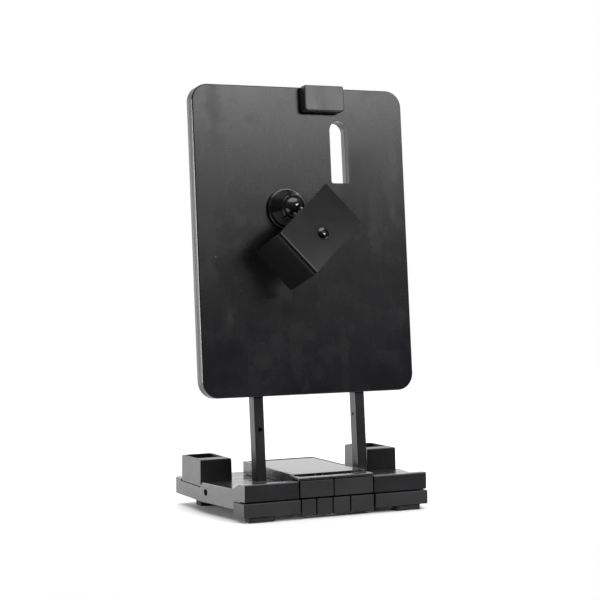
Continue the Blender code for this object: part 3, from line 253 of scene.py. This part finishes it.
def rubber():
    """The feet: matt rubber with a dusty, pitted skin."""
    shader = Shader("foot_rubber_fine")
    pits = shader.noise(1800, detail=4)
    shader.set("Base Color", shader.tint(shader.noise(200), (0.008, 0.008, 0.008), (0.018, 0.018, 0.018)))
    shader.set("Roughness", shader.remap(pits, 0.3, 0.7, 0.7, 0.95))
    shader.bump(pits, 0.3, 0.0001)
    return shader.material


looks = {
    "panel_plastic": panel_plastic(),
    "panel_back_plastic": moulded("panel_back_fine", BLACK, 0.45, dust=0.03),
    # base, block and bay: front= paints shade on their faces that point towards the user.
    "base_plastic": moulded("base_fine", BLACK, 0.2, specular=0.8, front=0.1, dust=0.03),
    "rail_plastic": moulded("rail_fine", BLACK, 0.4, specular=0.3, dust=0.02),
    "block_plastic": moulded("block_fine", BLACK, 0.34, specular=0.6, front=0.05, dust=0.02),
    "bay_plastic": moulded("bay_fine", BLACK, 0.22, specular=0.9, front=0.5, dust=0.03),
    "key_plastic": moulded("key_fine", BLACK, 0.4, specular=0.3),
    "lid_gloss": gloss_lid(),
    "leg_metal": moulded("leg_fine", (0.011, 0.011, 0.012), 0.34, specular=0.28, grain=0.06),
    "leg_socket_plastic": moulded("leg_socket_fine", BLACK, 0.45),
    "guide_plastic": moulded("guide_fine", BLACK, 0.5),
    "knob_plastic": moulded("knob_fine", BLACK, 0.5),
    "clip_plastic": moulded("clip_fine", (0.016, 0.016, 0.017), 0.42, specular=0.7),
    "mount_gloss": gloss_plastic(),
    "bracket_sheet": coated_sheet(),
    "bracket_screw_steel": steel("bracket_screw_fine", (0.07, 0.07, 0.07), 0.16),
    "bright_steel": steel("bright_steel_fine", (0.62, 0.62, 0.62), 0.25),
    "screw_steel": steel("screw_steel_fine", (0.4, 0.4, 0.41), 0.32),
    "spring_steel": steel("spring_steel_fine", (0.45, 0.45, 0.46), 0.3),
    "foot_rubber": rubber(),
}
slot_of_node = {part["node"]: part["material_slot"] for part in record["subparts"]}


# ---------------------------------------------------------------- fine surfaces
def finish_piece(obj, nodes, body, look):
    """Give a piece its look and its body, and let it stand for CAD nodes."""
    obj.data.materials.clear()
    obj.data.materials.append(looks[look])
    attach(obj, body)
    if nodes:
        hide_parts(*nodes)


def refined(node, edge):
    """A copy of a CAD node with one face on each flat, small rounded edges and smooth round sides."""
    mesh = frame["nodes"][node].data.copy()
    mesh.name = node + "_fine"
    bm = bmesh.new()
    bm.from_mesh(mesh)
    bmesh.ops.remove_doubles(bm, verts=bm.verts, dist=WELD)
    bmesh.ops.dissolve_limit(bm, angle_limit=math.radians(FLAT_ANGLE), verts=[], edges=bm.edges)
    for face in bm.faces:
        face.smooth = True
    for side in bm.edges:
        if len(side.link_faces) == 2:
            side.smooth = side.calc_face_angle(0) < math.radians(SHARP_ANGLE)
    bm.to_mesh(mesh)
    bm.free()
    obj = bpy.data.objects.new(node + "_fine", mesh)
    bpy.context.scene.collection.objects.link(obj)
    if edge:
        bevel = obj.modifiers.new("Edges", "BEVEL")
        bevel.width = edge
        bevel.segments = BEVEL_STEPS
        bevel.limit_method = "ANGLE"
        bevel.angle_limit = math.radians(SHARP_ANGLE)
        bevel.use_clamp_overlap = True
    weighted = obj.modifiers.new("Normals", "WEIGHTED_NORMAL")
    weighted.keep_sharp = True
    finish_piece(obj, [node], body_of_node[node], slot_of_node[node])
    return obj


# The width of each node's rounded edges, in millimetres; a node that isn't here keeps its own edges.
EDGES = {
    "panel_front": 0.0, "panel_back": 0.0, "base_cover": 0.25, "bottom_plate": 0.3, "bay_housing": 0.35, "lid": 0.3,
    "key_frame": 0.2, "socket_block_left": 0.35, "socket_block_right": 0.35, "leg_left": 0.3, "leg_right": 0.3,
    "leg_socket_left": 0.4, "leg_socket_right": 0.4, "leg_guide_left": 0.3, "leg_guide_right": 0.3,
    "top_clip": 0.3, "bracket": 0.22, "socket_cup": 0.25, "socket_flange": 0.3, "ball_stud": 0.0,
    "bracket_screw": 0.12, "lock_knob_left": 0.3, "lock_knob_right": 0.3,
}
EDGES.update({name: 0.35 for name in frame["nodes"] if "rail" in name or "foot" in name})
EDGES.update({name: 0.25 for name in frame["nodes"]
              if "key_" in name and "spring" not in name and name != "key_frame"})


def make_fine_surfaces():
    for node in sorted(frame["nodes"]):
        refined(node, EDGES.get(node, 0.0) * MM)


# ---------------------------------------------------------------- studio
def make_camera():
    yaw, pitch, roll = (math.radians(angle) for angle in (CAMERA_YAW, CAMERA_PITCH, CAMERA_ROLL))
    forward = Vector((math.sin(yaw) * math.cos(pitch), math.cos(yaw) * math.cos(pitch), -math.sin(pitch)))
    right = Vector((math.cos(yaw), -math.sin(yaw), 0))
    up = right.cross(forward)
    rolled_right = right * math.cos(roll) + up * math.sin(roll)
    rolled_up = up * math.cos(roll) - right * math.sin(roll)
    data = bpy.data.cameras.new("camera")
    data.lens = CAMERA_LENS
    data.sensor_width = CAMERA_SENSOR
    data.clip_end = 20
    camera = bpy.data.objects.new("camera", data)
    turn = Matrix((rolled_right, rolled_up, -forward)).transposed()
    camera.matrix_world = Matrix.Translation(CAMERA_PLACE) @ turn.to_4x4()
    bpy.context.scene.collection.objects.link(camera)
    bpy.context.scene.camera = camera


def make_floor():
    """A white table top that ends a little in front of the stand."""
    (left, front), (right, back) = FLOOR_LOW, FLOOR_HIGH
    mesh = bpy.data.meshes.new("floor")
    mesh.from_pydata([(left, front, 0), (right, front, 0), (right, back, 0), (left, back, 0)], [], [(0, 1, 2, 3)])
    floor = bpy.data.objects.new("floor", mesh)
    bpy.context.scene.collection.objects.link(floor)
    shader = Shader("floor_white")
    shader.set("Base Color", (0.93, 0.93, 0.93, 1))
    shader.set("Roughness", 0.55)
    shader.set("Specular IOR Level", 0.2)
    floor.data.materials.append(shader.material)


def make_world():
    """A white wall behind the stand and a bright ceiling, in a room that is otherwise dark."""
    world = bpy.data.worlds.new("studio")
    bpy.context.scene.world = world
    world.use_nodes = True
    tree = world.node_tree
    tree.nodes.clear()
    output = tree.nodes.new("ShaderNodeOutputWorld")
    back = tree.nodes.new("ShaderNodeBackground")
    seen = tree.nodes.new("ShaderNodeBackground")
    seen.inputs["Color"].default_value = (1, 1, 1, 1)
    seen.inputs["Strength"].default_value = 1.0
    path = tree.nodes.new("ShaderNodeLightPath")
    mix = tree.nodes.new("ShaderNodeMixShader")
    place = tree.nodes.new("ShaderNodeTexCoord")
    parts = tree.nodes.new("ShaderNodeSeparateXYZ")
    tree.links.new(place.outputs["Generated"], parts.inputs["Vector"])

    def span(value, low, high, out_low, out_high):
        node = tree.nodes.new("ShaderNodeMapRange")
        node.interpolation_type = "SMOOTHSTEP"
        tree.links.new(value, node.inputs["Value"])
        for key, number in (("From Min", low), ("From Max", high), ("To Min", out_low), ("To Max", out_high)):
            node.inputs[key].default_value = number
        return node.outputs["Result"]

    def math_node(operation, first, second):
        node = tree.nodes.new("ShaderNodeMath")
        node.operation = operation
        for socket, value in zip(node.inputs, (first, second)):
            if isinstance(value, bpy.types.NodeSocket):
                tree.links.new(value, socket)
            else:
                socket.default_value = value
        return node.outputs["Value"]

    behind = span(parts.outputs["Y"], 0.35, 0.75, 0.0, 1.0)
    height = span(parts.outputs["Z"], 0.05, 0.5, ROOM_LOW, ROOM_HIGH)
    front = math_node("MULTIPLY", height, math_node("SUBTRACT", 1.0, behind))
    ceiling = span(parts.outputs["Z"], 0.7, 0.9, 0.0, CEILING_STRENGTH)
    level = math_node("ADD", math_node("ADD", front, ceiling), math_node("MULTIPLY", behind, WALL_STRENGTH))
    tree.links.new(level, back.inputs["Strength"])
    tree.links.new(path.outputs["Is Camera Ray"], mix.inputs["Fac"])
    tree.links.new(back.outputs["Background"], mix.inputs[1])
    tree.links.new(seen.outputs["Background"], mix.inputs[2])
    tree.links.new(mix.outputs["Shader"], output.inputs["Surface"])


def make_lights():
    def area(name, location, target, size, power):
        data = bpy.data.lights.new(name, "AREA")
        data.shape = "RECTANGLE"
        data.size, data.size_y = size
        data.energy = power
        light = bpy.data.objects.new(name, data)
        light.location = location
        aim = Vector(target) - Vector(location)
        light.rotation_euler = aim.to_track_quat("-Z", "Y").to_euler()
        bpy.context.scene.collection.objects.link(light)

    area("front_right_softbox", (0.9, -1.4, 0.92), (0, 0, 0.25), (1.1, 0.42), 20)
    area("left_rear_softbox", (-1.2, 1.0, 0.25), (0, 0, 0.02), (0.6, 0.5), 15)


def set_view():
    settings = bpy.context.scene.view_settings
    settings.view_transform = "Standard"
    settings.look = "None"
    settings.exposure = 0.0


make_fine_surfaces()
make_floor()
make_camera()
make_world()
make_lights()
set_view()
